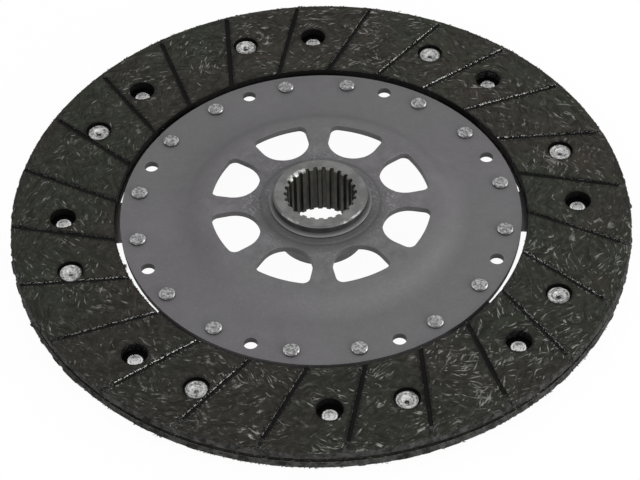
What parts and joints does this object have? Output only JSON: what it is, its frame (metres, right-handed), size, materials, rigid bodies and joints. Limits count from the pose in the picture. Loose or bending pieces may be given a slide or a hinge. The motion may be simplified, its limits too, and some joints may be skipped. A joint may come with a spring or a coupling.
{
  "type": "clutch disc",
  "caption": "Rigid clutch disc: splined hub, dished carrier plate with windows, cushion segments and two riveted friction facings with slanted grooves.",
  "frame": {"origin": "middle of the hub's rear end face, on the axis of the spline", "axes": "+Z along the axis, from the hub's rear end towards the side with the raised plate and the front facing; +X along one spoke of the carrier plate"},
  "size_m": [0.24, 0.24, 0.0229],
  "materials": {
    "hub_steel": "satin",
    "plate_steel": "matt phosphated",
    "friction_lining": "rough",
    "spring_steel": "satin",
    "plate_rivet_steel": "satin",
    "bright_rivet_metal": "satin"
  },
  "bodies": {
    "root": {"hub": "hub_steel", "carrier_plate": "plate_steel", "front_facing": "friction_lining", "rear_facing": "friction_lining", "cushion_segment_1": "spring_steel", "cushion_segment_2": "spring_steel", "cushion_segment_3": "spring_steel", "cushion_segment_4": "spring_steel", "cushion_segment_5": "spring_steel", "cushion_segment_6": "spring_steel", "cushion_segment_7": "spring_steel", "cushion_segment_8": "spring_steel", "plate_rivets_1": "plate_rivet_steel", "plate_rivets_2": "plate_rivet_steel", "plate_rivets_3": "plate_rivet_steel", "plate_rivets_4": "plate_rivet_steel", "plate_rivets_5": "plate_rivet_steel", "plate_rivets_6": "plate_rivet_steel", "plate_rivets_7": "plate_rivet_steel", "plate_rivets_8": "plate_rivet_steel", "front_facing_rivets": "bright_rivet_metal", "rear_facing_rivets": "bright_rivet_metal"}
  },
  "joints": []
}
